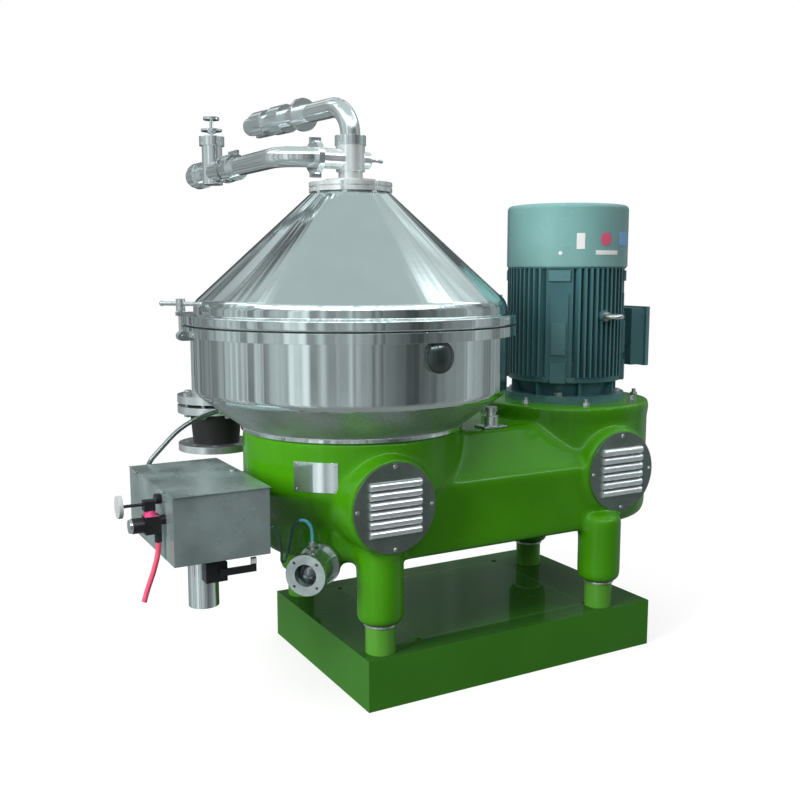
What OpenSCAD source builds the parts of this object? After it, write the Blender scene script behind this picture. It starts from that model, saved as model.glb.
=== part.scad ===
// Disc-stack cream separator: green drive frame on a plinth, polished casing and hood over the bowl,
// belt drive from an upright motor, milk pipes on top, air control box and outlets at the side.
// Frame: origin at the centre of the plinth's underside, +X from the bowl towards the motor, +Z up.

/* [Plinth] */
// Length of the plinth
base_l = 900; // [860:10:1000]
// Width of the plinth
base_w = 590; // [560:10:640]
// Height of the plinth
base_h = 130; // [110:5:130]
// Plate thickness of the plinth
base_wall = 12; // [8:1:16]
// Anchor hole spacing along the length
anchor_dx = 550; // [450:10:560]
// Anchor hole spacing across the width
anchor_dy = 450; // [400:10:460]
// Radius of an anchor hole
anchor_r = 9; // [7:0.5:10]

/* [Legs] */
// Radius of a leg column
leg_r = 59; // [50:1:62]
// Radius of a foot
foot_r = 38; // [30:1:44]
// Height at which a foot ends
foot_top = 200; // [190:5:205]
// Thickness of the washer between foot and leg
washer_t = 5; // [3:1:8]

/* [Drive frame] */
// Underside of the drive frame
frame_z = 350; // [345:5:360]
// Wall thickness of the casting
frame_wall = 12; // [8:1:16]
// Radius of the drum under the bowl
drum_r = 288; // [280:2:292]
// Radius of the drum's lower part
drum_low_r = 244; // [236:2:250]
// Top of the drum under the bowl
drum_top = 660; // [656:2:664]
// Radius of the drum under the motor
motor_drum_r = 248; // [240:2:256]
// Top of the drum under the motor
motor_drum_top = 690; // [684:2:694]
// Half width of the belt housing
housing_y = 255; // [246:1:262]
// Radius of a louvred cover
cover_r = 111; // [100:1:114]

/* [Casing and hood] */
// Radius of the casing's cylinder
casing_r = 406; // [400:2:410]
// Radius of the two rim rings
rim_r = 430; // [426:1:436]
// Height of the joint between casing and hood
rim_z = 928; // [924:1:932]
// Radius at the top of the hood
hood_top_r = 104; // [90:2:106]
// Height of the top of the hood
hood_top = 1262; // [1240:2:1270]
// Sheet thickness of casing and hood
sheet_t = 8; // [4:1:10]

/* [Drive] */
// Radius of the pulley on the motor
drive_pulley_r = 118; // [100:1:120]
// Radius of the pulley on the spindle
driven_pulley_r = 37; // [34:1:44]
// Radius of the spindle
spindle_r = 22; // [18:1:26]
// Radius of the motor shaft
shaft_r = 24; // [20:1:26]
// Radius of the bowl
bowl_r = 240; // [220:2:246]
// Number of discs in the stack
disc_count = 9; // [6:1:9]

/* [Motor] */
// Radius of the fan cowl
cowl_r = 175; // [170:1:180]
// Top of the fan cowl
cowl_top = 1250; // [1230:5:1260]
// Radius of the motor's core
core_r = 140; // [130:1:150]
// Radius over the fins
fin_r = 174; // [168:1:176]
// Bolt circle radius of the motor flange
motor_pcr = 150; // [140:1:155]

/* [Milk pipes] */
// Outer radius of a milk pipe
pipe_ro = 25.4; // [19:0.1:25.4]
// Inner radius of a milk pipe
pipe_ri = 23.9; // [17:0.1:23.9]
// Height of the inlet pipe's arm
feed_z = 1484; // [1470:2:1484]
// Height of the outlet pipe
outlet_z = 1345; // [1340:1:1350]
// Turn of the inlet arm from +Y towards the far side
feed_turn = 9; // [0:1:12]
// Turn of the outlet pipe from +Y
outlet_turn = 2; // [0:1:4]

/* [Control box] */
// Lowest corner of the control box
box_lo = [-905, -261, 425];
// Highest corner of the control box
box_hi = [-683, 119, 578];
// Sheet thickness of the control box
box_t = 2; // [1.5:0.5:3]
// Radius of the pins that the lid turns on
hinge_pin_r = 1.5; // [1.5:0.5:2]

/* [Hidden] */
$fn = 72;
cut = 1;
run_gap = 0.06;
free_gap = 0.5;
bowl_x = -345;
motor_x = 363;
// The legs under the two covers come first, then the two at the back
leg_at = [[-393, -246], [300, -249], [-393, 246], [363, 161]];
leg_shoulder = [60, 36, 60];
leg_shoulder_top_r = [20, 46, 20];
leg_shoulder_h = [50, 10, 50];
leg_z = foot_top + washer_t;
cover_left = [-386, -308, 505];
cover_right = [355, -268, 510];
cover_t = 4;
cover_screw_r = 101;
boss_r = 120;
boss_bore_r = 90;
louvre_n = 6;
louvre_pitch = 23;
louvre_l = 138;
louvre_r = 10;
knee_z = 760;
seat_z = drum_top + 8;
seal_t = 3;
hood_z = rim_z + seal_t;
hood_rim_top = hood_z + 25;
hood_neck_z = 975;
hood_neck_r = 404;
clamp_at = [176, 356];
clamp_r = 445;
clamp_pivot_z = 907;
clamp_pin_r = 4;
clamp_bar = 55;
clamp_bar_turn = [41, -21];
clamp_bar_z = 985;
collar_h = 24;
collar_rim_h = 10;
collar_r = 107;
hub_top = 1380;
nut_top = 1404;
feed_bend = 80;
feed_arm = 430;
outlet_stub = 100;
outlet_lead = 10;
outlet_bend = 75;
outlet_arm = 335;
valve_at = outlet_bend + outlet_arm + 92;
duct_at = [-569, 456];
duct_z = 800;
duct_turn = atan2(-duct_at[1], bowl_x - duct_at[0]);
duct_reach = norm([duct_at[0] - bowl_x, duct_at[1]]);
duct_ro = 68;
duct_ri = 62;
duct_flange_z = 684;
sleeve_flange_z = 654;
sludge_z = 543;
sludge_flange_h = 20;
dn_flange_r = 110;
dn_pcr = 90;
dn_hole_r = 9;
duct_pcr = 87;
duct_bolt_r = 6;
duct_hole_r = duct_bolt_r + 0.75;
duct_joint_h = 22;
sleeve_joint_h = 21;
duct_joint_span = duct_flange_z + duct_joint_h - sleeve_flange_z;
water_at = [-858, 134, 540];
water_r = 6;
water_rise = 14;
water_bend = [45, 60];
water_mid = 60;
water_sweep = [30, 200];
water_lead = 42;
water_tilt = water_bend[0] + water_sweep[0];
water_turn_x = water_bend[1] * (1 - cos(water_bend[0])) + water_mid * sin(water_bend[0]);
water_turn_z = water_rise + water_bend[1] * sin(water_bend[0]) + water_mid * cos(water_bend[0]);
water_reach_x = water_sweep[1] * (cos(water_bend[0]) - cos(water_tilt));
water_reach_z = water_sweep[1] * (sin(water_tilt) - sin(water_bend[0]));
water_boss_r = 10;
water_boss_l = 46;
belt_z = 480;
belt_w = 80;
belt_t = 4;
belt_gap = 0.4;
bowl_z = 735;
bowl_rim_z = 905;
hinge_at = [box_lo[0] - 5, box_hi[2] + 1.7];
hinge_y = [-190, 50];
knuckle_r = 3.5;
knuckle_l = 30;
lid_gap = 0.4;
lid_t = 2.6;
drain_turn = 225;
drain_face = 350;
drain_z = 354;
drain_flange_r = 50;
drain_bore_r = 27;
drain_pcr = 40;
ball_r = 34;
regulator_y = -196;
port_turn = -87.5;
port_z = 870;
port_r = 37;
port_hole_r = 30;
port_face = 417;
rim_ring_h = 24;
motor_foot_z = 710;
stator_z = 764;
stator_top = 1070;
cowl_z = 1075;
box_gland_r = 15;
blue_r = 3;
blue_route = [[-683, -250, 484], [-670, -249, 481], [-656, -241, 463], [-645, -228, 434],
    [-637, -212, 405], [-630, -194, 383], [-620, -180, 373], [-610, -175, 382], [-605, -177, 402],
    [-603, -184, 425], [-602, -192, 448], [-597, -200, 467], [-586, -207, 477], [-574, -212, 475],
    [-563, -215, 462], [-559, -214, 444], [-558.5, -213.5, 424]];
filler_at = [22, -113, 645];
red_r = 6;
red_route = [[-921, -196, 470], [-921, -196, 462], [-922, -196, 452], [-924, -196, 440],
    [-927, -196, 427], [-931, -196, 414], [-935, -196, 401], [-940, -196, 388],
    [-945, -196, 375], [-950, -196, 361], [-954, -196, 349], [-957, -196, 338]];

// ---- helpers ----

module at_bowl(z = 0) translate([bowl_x, 0, z]) children();

module at_motor(z = 0) translate([motor_x, 0, z]) children();

// Square-edged block from its lowest to its highest corner
module block(lo, hi) translate(lo) cube(hi - lo);

// Ring standing on the XY plane
module ring(ro, ri, h) difference() {
    cylinder(r = ro, h = h);
    translate([0, 0, -cut]) cylinder(r = ri, h = h + 2 * cut);
}

// Bar along +Z that follows straights ["s", length] and arcs ["a", angle, radius] turning to +X
module run(steps, r, i = 0) {
    if (i < len(steps)) {
        step = steps[i];
        if (step[0] == "s") {
            cylinder(r = r, h = step[1]);
            translate([0, 0, step[1]]) run(steps, r, i + 1);
        } else {
            translate([step[2], 0, 0]) rotate([90, 0, 0])
                rotate_extrude(angle = step[1], start = 180 - step[1]) translate([step[2], 0]) circle(r = r);
            translate([step[2], 0, 0]) rotate([0, step[1], 0]) translate([-step[2], 0, 0])
                run(steps, r, i + 1);
        }
    }
}

// Hollow pipe along the same kind of steps, open at both ends
module pipe(steps, ro, ri) difference() {
    run(steps, ro);
    translate([0, 0, -cut]) run(concat([["s", cut]], steps, [["s", cut]]), ri);
}

// Union nut with wrench slots, along +Z
module slotted_nut(ro, ri, h, slots = 4) difference() {
    ring(ro, ri, h);
    for (i = [0 : slots - 1]) rotate([0, 0, i * 360 / slots + 20])
        translate([ro - 5, -5, h * 0.2]) cube([10, 10, h + cut]);
}

// Points on a circular arc in a profile, centre c, from angle a0 to a1 in n steps
function arc(c, r, a0, a1, n) = [for (i = [0 : n]) let (a = a0 + (a1 - a0) * i / n)
    c + r * [cos(a), sin(a)]];

function unit(v) = v / norm(v);
function along(pts, i) = unit(pts[min(i + 1, len(pts) - 1)] - pts[max(i - 1, 0)]);
function side(t) = unit(cross(t, abs(t[2]) < 0.9 ? [0, 0, 1] : [0, 1, 0]));

// Round tube swept along a list of points, as one closed surface
module sweep(pts, r, sides = 8) {
    n = len(pts);
    rings = [for (i = [0 : n - 1]) let (t = along(pts, i), u = side(t), v = cross(t, u))
        for (k = [0 : sides - 1]) pts[i] + r * (cos(k * 360 / sides) * u + sin(k * 360 / sides) * v)];
    walls = [for (i = [0 : n - 2]) for (k = [0 : sides - 1]) let (m = (k + 1) % sides)
        each [[i * sides + k, (i + 1) * sides + k, (i + 1) * sides + m],
              [i * sides + k, (i + 1) * sides + m, i * sides + m]]];
    first = [for (k = [0 : sides - 1]) k];
    last = [for (k = [sides - 1 : -1 : 0]) (n - 1) * sides + k];
    polyhedron(rings, concat(walls, [first, last]));
}

// ---- plinth and legs ----

module at_anchors() for (sx = [-1, 1], sy = [-1, 1])
    translate([sx * anchor_dx / 2, sy * anchor_dy / 2, 0]) children();

module base_plinth() color("forestgreen") difference() {
    union() {
        difference() {
            block([-base_l / 2, -base_w / 2, 0], [base_l / 2, base_w / 2, base_h]);
            block([base_wall - base_l / 2, base_wall - base_w / 2, base_wall],
                [base_l / 2 - base_wall, base_w / 2 - base_wall, base_h - base_wall]);
        }
        at_anchors() cylinder(r = anchor_r + base_wall, h = base_h);
    }
    at_anchors() translate([0, 0, -cut]) cylinder(r = anchor_r, h = base_h + 2 * cut);
}

module at_legs() for (p = leg_at) translate([p[0], p[1], 0]) children();

module legs() color("limegreen") at_legs() {
    translate([0, 0, leg_z]) cylinder(r1 = leg_r - 11, r2 = leg_r, h = 12);
    translate([0, 0, leg_z + 12]) cylinder(r = leg_r, h = frame_z - leg_z - 12);
}

module feet() color("limegreen") at_legs()
    translate([0, 0, base_h]) cylinder(r = foot_r, h = foot_top - base_h);

module foot_washers() color("silver") at_legs()
    translate([0, 0, foot_top]) cylinder(r = foot_r + 4, h = washer_t);

// ---- drive frame ----

// Solid form of the frame with every wall moved in by t
module frame_form(t) {
    at_bowl() rotate_extrude() polygon([[0, frame_z + t], [drum_low_r - 14 - t, frame_z + t],
        [drum_low_r - t, frame_z + 14 + t], [drum_low_r - t, 440 + t / 3], [drum_r - t, 528 + t / 3],
        [drum_r - t, drum_top - t], [0, drum_top - t]]);
    at_motor() rotate_extrude() polygon([[0, frame_z + t], [motor_drum_r - 34 - t, frame_z + t],
        [motor_drum_r - 12 - t, frame_z + 10 + t], [motor_drum_r - 4 - t, frame_z + 30 + t],
        [motor_drum_r - 4 - t, motor_drum_top - t], [0, motor_drum_top - t]]);
    translate([bowl_x, 0, 0]) rotate([90, 0, 90]) linear_extrude(motor_x - bowl_x)
        polygon([[t - housing_y, frame_z + t], [t - housing_y, 528 - t / 2], [t / 3 - 140, 640 - t],
            [140 - t / 3, 640 - t], [housing_y - t, 528 - t / 2], [housing_y - t, frame_z + t]]);
}

// Round boss that carries a louvred cover, from its face inwards
module cover_boss(face, r, depth) translate(face) rotate([-90, 0, 0]) cylinder(r = r, h = depth);

module at_cover_screws(face) translate(face) rotate([90, 0, 0])
    for (a = [0 : 90 : 270]) rotate([0, 0, a]) translate([cover_screw_r, 0, 0]) children();

module at_motor_bolts() at_motor(motor_drum_top)
    for (a = [45 : 90 : 315]) rotate([0, 0, a]) translate([motor_pcr, 0, 0]) children();

module at_studs() at_motor(motor_drum_top)
    for (a = [0 : 45 : 315]) rotate([0, 0, a + 22.5]) translate([218, 0, 0]) children();

module drive_frame() color("limegreen") difference() {
    union() {
        frame_form(0);
        at_motor(motor_drum_top - 33) cylinder(r = motor_drum_r, h = 33);
        cover_boss(cover_left, boss_r, 150);
        cover_boss(cover_right, boss_r, 120);
        for (i = [0 : 2]) translate([leg_at[i][0], leg_at[i][1], frame_z]) {
            cylinder(r = leg_r, h = leg_shoulder[i]);
            translate([0, 0, leg_shoulder[i]])
                cylinder(r1 = leg_r, r2 = leg_shoulder_top_r[i], h = leg_shoulder_h[i]);
        }
        at_bowl(drain_z) rotate([0, 90, drain_turn]) translate([0, 0, 200]) cylinder(r = 44, h = 48);
    }
    frame_form(frame_wall);
    at_bowl(drum_top - 20) cylinder(r = 150, h = 30);
    at_motor(motor_drum_top - 40) cylinder(r = 125, h = 50);
    cover_boss(cover_left - [0, cut, 0], boss_bore_r, 110);
    cover_boss(cover_right - [0, cut, 0], boss_bore_r, 60);
    for (face = [cover_left, cover_right])
        at_cover_screws(face) translate([0, 0, -14]) cylinder(r = 3, h = 14 + cut);
    at_motor_bolts() translate([0, 0, -20]) cylinder(r = 8, h = 21);
    at_studs() translate([0, 0, -20]) cylinder(r = 6, h = 21);
    at_bowl(drain_z) rotate([0, 90, drain_turn]) translate([0, 0, 212]) cylinder(r = drain_bore_r, h = 40);
}

// Louvred cover with its fixing face at the boss, hoods towards -Y
module louvre_cover(face) color("slategray") translate(face) rotate([90, 0, 0]) difference() {
    union() {
        cylinder(r = cover_r, h = cover_t);
        for (i = [0 : louvre_n - 1]) translate([0, (i - (louvre_n - 1) / 2) * louvre_pitch, cover_t])
            difference() {
                translate([-louvre_l / 2, 0, 0]) rotate([0, 90, 0]) cylinder(r = louvre_r, h = louvre_l);
                translate([0, 0, -louvre_r - cut]) translate([-louvre_l, -louvre_l, 0])
                    cube([2 * louvre_l, 2 * louvre_l, louvre_r + cut]);
            }
    }
    for (i = [0 : louvre_n - 1]) translate([0, (i - (louvre_n - 1) / 2) * louvre_pitch, 0]) {
        translate([3 - louvre_l / 2, 0, cover_t]) rotate([0, 90, 0])
            cylinder(r = louvre_r - 2, h = louvre_l - 6);
        translate([3 - louvre_l / 2, -louvre_r - cut, cover_t]) cube([louvre_l - 6, louvre_r, 5]);
        translate([3 - louvre_l / 2, -louvre_r + 2, -cut])
            cube([louvre_l - 6, 2 * louvre_r - 4, cover_t + 2]);
    }
    for (a = [0 : 90 : 270]) rotate([0, 0, a]) translate([cover_screw_r, 0, -cut])
        cylinder(r = 3, h = cover_t + 2 * cut);
}

module louvre_cover_left() louvre_cover(cover_left);

module louvre_cover_right() louvre_cover(cover_right);

module cover_screws() color("silver") for (face = [cover_left, cover_right]) at_cover_screws(face) {
    translate([0, 0, -14]) cylinder(r = 3, h = 14 + cover_t);
    translate([0, 0, cover_t]) cylinder(r1 = 6, r2 = 4, h = 3);
}

module rating_plate() color("silver") at_bowl(540)
    rotate_extrude(angle = 22.3, start = 214.7) translate([drum_r, 0]) square([1.5, 73]);

// ---- drive inside the frame ----

module bearing_housing() color("dimgray") at_bowl() {
    difference() {
        union() {
            translate([0, 0, 604]) cylinder(r = 150, h = drum_top - 604);
            translate([0, 0, drum_top]) cylinder(r = 165, h = 6);
        }
        translate([0, 0, 600]) cylinder(r = 30, h = 70);
        translate([0, 0, 600]) cylinder(r = 45, h = 40);
    }
    difference() {
        translate([0, 0, frame_z + frame_wall]) cylinder(r = 70, h = 53);
        translate([0, 0, 380]) cylinder(r = 45, h = 40);
    }
}

module spindle_bearings() color("silver") at_bowl() {
    translate([0, 0, 605]) ring(45, spindle_r + run_gap, 35);
    translate([0, 0, 380]) ring(45, spindle_r + run_gap, 35);
}

module spindle() color("lightgray") at_bowl(384) cylinder(r = spindle_r, h = 400);

module driven_pulley() color("gray") at_bowl(470) ring(driven_pulley_r, spindle_r, 100);

// Outline of the belt's path at a distance from both pulleys
module belt_outline(extra) {
    lean = asin((drive_pulley_r - driven_pulley_r) / (motor_x - bowl_x));
    polygon(concat(arc([bowl_x, 0], driven_pulley_r + extra, 90 + lean, 270 - lean, 24),
        arc([motor_x, 0], drive_pulley_r + extra, -90 - lean, 90 + lean, 48)));
}

module drive_belt() color("saddlebrown") translate([0, 0, belt_z]) difference() {
    linear_extrude(belt_w) belt_outline(belt_gap + belt_t);
    translate([0, 0, -cut]) linear_extrude(belt_w + 2 * cut) belt_outline(belt_gap);
}

module drive_pulley() color("gray") at_motor(470) difference() {
    cylinder(r = drive_pulley_r, h = 100);
    translate([0, 0, -cut]) cylinder(r = drive_pulley_r - 14, h = 40);
    translate([0, 0, -2 * cut]) cylinder(r = shaft_r, h = 110);
}

// ---- casing and hood ----

module casing_ring() color("silver") at_bowl(drum_top) ring(drum_r + 4, 268, seat_z - drum_top);

// Outside of the casing as one filled form
module casing_form() at_bowl() rotate_extrude() polygon(concat([[0, seat_z], [drum_r + 1, seat_z]],
    arc([casing_r - 26, knee_z + 9], 26, -50, 0, 6), [[casing_r, rim_z], [0, rim_z]]));

// Ring round the casing's top edge
module casing_rim() at_bowl(rim_z - rim_ring_h) cylinder(r = rim_r, h = rim_ring_h);

module at_clamp(i) at_bowl() rotate([0, 0, clamp_at[i]]) translate([clamp_r, 0, clamp_pivot_z]) children();

// Where the water tube meets the casing, with Z along the tube
module at_water_end() translate(water_at)
    translate([water_turn_x + water_reach_x, 0, water_turn_z + water_reach_z]) rotate([0, water_tilt, 0])
        translate([0, 0, water_lead]) children();

module lower_casing() color("silver") difference() {
    union() {
        casing_form();
        casing_rim();
        for (i = [0, 1]) at_clamp(i) for (s = [-1, 1]) translate([0, s * 11.5, 0]) {
            translate([-28, -3, -11]) cube([28, 6, 22]);
            rotate([90, 0, 0]) cylinder(r = 11, h = 6, center = true);
        }
        for (i = [0, 1]) at_clamp(i) rotate([90, 0, 0]) cylinder(r = clamp_pin_r, h = 34, center = true);
        at_water_end() cylinder(r = water_boss_r, h = water_boss_l);
    }
    at_bowl() rotate_extrude() polygon([[0, seat_z + sheet_t], [drum_r - 3, seat_z + sheet_t],
        [casing_r - sheet_t - 14, knee_z - 2], [casing_r - sheet_t, knee_z + 14],
        [casing_r - sheet_t, rim_z + cut], [0, rim_z + cut]]);
    at_bowl(seat_z - cut) cylinder(r = 60, h = 20);
    at_bowl(port_z) rotate([0, 90, port_turn]) translate([0, 0, 380]) cylinder(r = port_hole_r, h = 40);
    translate([duct_at[0], duct_at[1], duct_z]) rotate([0, 90, duct_turn]) cylinder(r = duct_ri - 8, h = 160);
}

module rim_seal() color("dimgray") at_bowl(rim_z) ring(rim_r - 4, casing_r - 6, seal_t);

module hood() color("silver") at_bowl() rotate_extrude() polygon(concat(
    [[casing_r - 8, hood_z], [rim_r, hood_z], [rim_r, hood_rim_top], [hood_neck_r, hood_rim_top]],
    arc([hood_neck_r - 22, hood_neck_z], 22, 0, 42, 6),
    [[hood_top_r, hood_top - 4], [hood_top_r - 4, hood_top], [56, hood_top], [56, hood_top - sheet_t],
     [hood_top_r - 6, hood_top - sheet_t - 2], [hood_neck_r - 11, hood_neck_z + 9],
     [hood_neck_r - sheet_t, hood_neck_z]]));

module top_collar() color("silver") at_bowl(hood_top) difference() {
    union() {
        ring(collar_r, 56, collar_rim_h);
        ring(collar_r - 6, 56, collar_h);
        translate([0, 0, collar_h - collar_rim_h]) ring(collar_r, 56, collar_rim_h);
    }
    for (a = [0 : 45 : 315]) rotate([0, 0, a + 10]) translate([100, -6, -cut]) cube([12, 12, 40]);
}

module at_port(reach) at_bowl(port_z) rotate([0, 90, port_turn]) translate([0, 0, reach]) children();

module casing_port() color("dimgray") {
    difference() {
        at_port(380) cylinder(r = port_r, h = port_face - 380);
        casing_form();
        casing_rim();
    }
    at_port(port_face - 18) cylinder(r = port_hole_r - 0.1, h = 18);
    difference() {
        intersection() {
            at_port(port_face) cylinder(r = port_r - 2, h = 12);
            at_port(port_face - 50) sphere(r = 62);
        }
        casing_rim();
    }
}

module clamp_bolt(i) color("silver") at_clamp(i) difference() {
    union() {
        rotate([90, 0, 0]) cylinder(r = 10, h = 16, center = true);
        cylinder(r = 6, h = clamp_bar_z - clamp_pivot_z - 10);
        translate([-29, -10, hood_rim_top + 0.4 - clamp_pivot_z]) cube([40, 20, 9]);
    }
    rotate([90, 0, 0]) cylinder(r = clamp_pin_r + run_gap, h = 20, center = true);
}

module clamp_handle(i) color("gainsboro") at_clamp(i) translate([0, 0, clamp_bar_z - clamp_pivot_z]) {
    difference() {
        translate([0, 0, -18]) cylinder(r = 11, h = 30);
        translate([0, 0, -19]) cylinder(r = 6 + run_gap, h = 9 + run_gap);
    }
    rotate([0, 0, clamp_bar_turn[i]]) {
        rotate([90, 0, 0]) cylinder(r = 5, h = 2 * clamp_bar, center = true);
        for (s = [-1, 1]) translate([0, s * clamp_bar, 0]) sphere(r = 6.5);
    }
}

module clamp_bolt_left() clamp_bolt(0);

module clamp_bolt_right() clamp_bolt(1);

module clamp_handle_left() clamp_handle(0);

module clamp_handle_right() clamp_handle(1);

// ---- milk pipes ----

module pipe_hub() color("silver") at_bowl() difference() {
    union() {
        translate([0, 0, hood_top + collar_h]) cylinder(r = 66, h = 8);
        translate([0, 0, hood_top + collar_h]) cylinder(r = 31, h = 40);
        translate([0, 0, 1315]) cylinder(r = 37, h = hub_top - 1315);
        translate([0, 0, outlet_z]) rotate([0, 90, 0]) cylinder(r = 21, h = 52);
        translate([0, 0, outlet_z]) rotate([0, -90, outlet_turn]) cylinder(r = pipe_ro, h = outlet_stub);
    }
    translate([0, 0, hood_top]) cylinder(r = pipe_ri, h = 200);
    translate([0, 0, outlet_z]) rotate([0, -90, outlet_turn]) cylinder(r = pipe_ri, h = outlet_stub + cut);
    translate([30, 0, outlet_z]) rotate([0, 90, 0]) cylinder(r = 5 + run_gap, h = 30);
}

module lock_pin() color("gray") at_bowl(outlet_z) rotate([0, 90, 0]) {
    translate([0, 0, 36]) cylinder(r = 5, h = 24);
    translate([0, 0, 60]) cylinder(r = 3, h = 22);
    translate([0, 0, 82]) cylinder(r = 4.5, h = 10);
    translate([0, 0, 64]) rotate([90, 0, 0]) cylinder(r = 2.5, h = 24, center = true);
}

module ring_nut() color("silver") at_bowl(hub_top) slotted_nut(40, pipe_ro, nut_top - hub_top);

module at_feed() at_bowl(hub_top) rotate([0, 0, 90 + feed_turn]) children();

module feed_pipe() color("silver") at_feed()
    pipe([["s", feed_z - feed_bend - hub_top], ["a", 90, feed_bend], ["s", feed_arm]], pipe_ro, pipe_ri);

// Place along the inlet arm, measured from the riser's axis, looking along the arm
module at_feed_arm(reach) at_feed() translate([reach, 0, feed_z - hub_top]) rotate([0, 90, 0]) children();

// Place along the outlet arm, measured from the bend's start
module at_outlet() at_bowl(outlet_z) rotate([0, 0, outlet_turn]) translate([-outlet_stub, 0, 0])
    rotate([0, -90, 0]) rotate([0, 0, 90]) children();

module at_outlet_arm(reach) at_bowl(outlet_z) rotate([0, 0, outlet_turn])
    translate([-outlet_stub - outlet_lead - outlet_bend, reach, 0]) rotate([-90, 0, 0]) children();

module pipe_unions() color("silver") {
    at_feed_arm(215) ring(44, pipe_ro, 12);
    at_feed_arm(300) slotted_nut(39, pipe_ro, 62);
    at_feed_arm(400) slotted_nut(37, pipe_ro, 66);
    at_outlet_arm(outlet_bend + 240) slotted_nut(36, pipe_ro, 48);
    at_outlet_arm(outlet_bend + 300) ring(38, pipe_ro, 14);
    at_outlet_arm(valve_at + 74) slotted_nut(38, pipe_ro, 50);
    at_outlet_arm(outlet_bend + 228) translate([-4, -45, 0]) cube([8, 11, 62]);
    at_outlet() difference() {
        union() {
            translate([0, 0, -8]) ring(41, pipe_ro, 16);
            for (s = [-1, 1]) translate([-6, s * 42 - 7, -14]) cube([12, 14, 28]);
        }
        translate([0, 0, -20]) cylinder(r = pipe_ro, h = 40);
    }
}

module outlet_pipe() color("silver") at_outlet()
    pipe([["s", outlet_lead], ["a", 90, outlet_bend], ["s", outlet_arm]], pipe_ro, pipe_ri);

module outlet_valve() color("silver") difference() {
    union() {
        at_outlet_arm(outlet_bend + outlet_arm) cylinder(r = 30, h = 62);
        at_outlet_arm(outlet_bend + outlet_arm)
            cylinder(r = pipe_ro, h = valve_at - outlet_bend - outlet_arm + 150);
        at_outlet_arm(valve_at) rotate([90, 0, 0]) {
            translate([0, 0, -34]) cylinder(r = 29, h = 112);
            translate([0, 0, 76]) slotted_nut(36, 5, 26);
        }
        at_outlet_arm(valve_at + 134) ring(33, pipe_ro, 8);
    }
    at_outlet_arm(valve_at) translate([0, 0, 30]) cylinder(r = pipe_ri, h = 130);
    at_outlet_arm(outlet_bend + outlet_arm - cut) cylinder(r = pipe_ri, h = 70);
    at_outlet_arm(valve_at) rotate([90, 0, 0]) translate([0, 0, 20]) cylinder(r = 5 + run_gap, h = 100);
}

module handwheel() color("lightgray") at_outlet_arm(valve_at) rotate([90, 0, 0]) {
    translate([0, 0, 40]) cylinder(r = 5, h = 118);
    translate([0, 0, 117]) cylinder(r = 30, h = 6);
    translate([0, 0, 112]) cylinder(r = 12, h = 14);
    translate([0, 0, 149]) cylinder(r = 23, h = 8);
}

module feed_tube() color("silver") at_bowl() difference() {
    union() {
        translate([0, 0, 840]) cylinder(r = 16, h = hub_top - 840);
        translate([0, 0, 1066]) cylinder(r = 22, h = 1312 - 1066);
        translate([0, 0, 1066]) cylinder(r = 60, h = 14);
    }
    translate([0, 0, 830]) cylinder(r = 14, h = hub_top - 820);
}

// ---- bowl ----

module bowl_body() color("lightsteelblue") at_bowl() rotate_extrude() polygon([[spindle_r, bowl_z],
    [60, bowl_z], [130, bowl_z + 15], [bowl_r - 16, 800], [bowl_r, 830], [bowl_r, bowl_rim_z],
    [bowl_r - 18, bowl_rim_z], [bowl_r - 18, 836], [110, 778], [40, 778], [40, 790], [spindle_r, 790]]);

module bowl_lid() color("lightsteelblue") at_bowl() rotate_extrude() polygon([[bowl_r, bowl_rim_z],
    [bowl_r, bowl_rim_z + 16], [88, 1062], [88, 1100], [36, 1100], [36, 1090], [72, 1090], [72, 1058],
    [bowl_r - 14, bowl_rim_z]]);

module lock_ring() color("steelblue") at_bowl(884) ring(bowl_r + 12, bowl_r, 40);

module disc_stack() color("silver") at_bowl() {
    translate([0, 0, 820]) ring(50, 44, 222);
    for (i = [0 : disc_count - 1]) translate([0, 0, 838 + 7 * i]) rotate_extrude()
        polygon([[50, 130], [188, 0], [188, 2], [50, 132]]);
}

// ---- sludge outlet ----

module at_duct(z) translate([duct_at[0], duct_at[1], z]) children();

// Eight places on a bolt circle of radius pcr, turned about its axis
module at_eight(pcr, turn = 0) for (a = [22.5 : 45 : 337.5]) rotate([0, 0, a + turn]) translate([pcr, 0, 0])
    children();

module dn_flange(h, ri, pcr, hole_r, turn = 0) difference() {
    ring(dn_flange_r, ri, h);
    at_eight(pcr, turn) translate([0, 0, -cut]) cylinder(r = hole_r, h = h + 2 * cut);
}

module sludge_duct() color("silver") difference() {
    union() {
        at_duct(duct_flange_z + duct_joint_h) cylinder(r = duct_ro, h = 166);
        at_duct(duct_flange_z) dn_flange(duct_joint_h, 10, duct_pcr, duct_hole_r, duct_turn);
        at_duct(duct_z) rotate([0, 90, duct_turn]) cylinder(r = duct_ri - 2, h = duct_reach - 380);
    }
    casing_form();
    at_duct(duct_flange_z - cut) cylinder(r = duct_ri, h = 183);
    at_duct(duct_z) rotate([0, 90, duct_turn]) cylinder(r = duct_ri - 8, h = 160);
}

module sludge_flanges() color("silver") {
    at_duct(sleeve_flange_z) dn_flange(sleeve_joint_h, duct_ri, duct_pcr, duct_hole_r, duct_turn);
    at_duct(sludge_z) dn_flange(sludge_flange_h, duct_ri, dn_pcr, dn_hole_r);
}

module sludge_sleeve() color("black") {
    at_duct(sleeve_flange_z + sleeve_joint_h)
        ring(80, duct_ri, duct_flange_z - sleeve_flange_z - sleeve_joint_h);
    at_duct(sludge_z + sludge_flange_h) difference() {
        cylinder(r1 = 67, r2 = 75, h = sleeve_flange_z - sludge_z - sludge_flange_h);
        translate([0, 0, -cut]) cylinder(r = 58, h = 100);
    }
}

// ---- motor ----

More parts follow.
